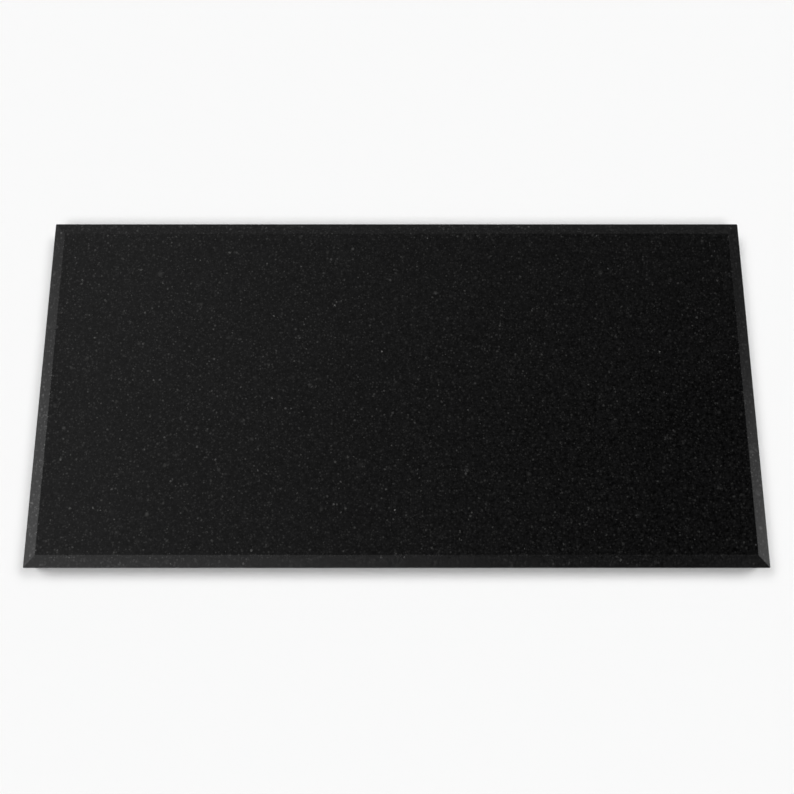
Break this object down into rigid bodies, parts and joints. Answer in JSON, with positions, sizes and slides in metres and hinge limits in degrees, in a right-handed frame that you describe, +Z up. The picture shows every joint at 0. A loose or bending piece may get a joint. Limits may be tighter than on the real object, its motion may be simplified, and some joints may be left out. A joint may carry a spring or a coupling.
{
  "type": "granite slab",
  "caption": "Rectangular black granite slab with a polished work face and a mitred bevel all round it, a hard flat base for tooling and punching leather.",
  "frame": {"origin": "middle of the flat underside, on the surface the slab lies on", "axes": "+X along the slab's length, +Y across its width, +Z up out of the work face"},
  "size_m": [0.3048, 0.1504, 0.0127],
  "materials": {
    "granite": "polished black granite with fine grey and white flecks"
  },
  "bodies": {
    "root": {"granite_slab": "granite"}
  },
  "joints": []
}
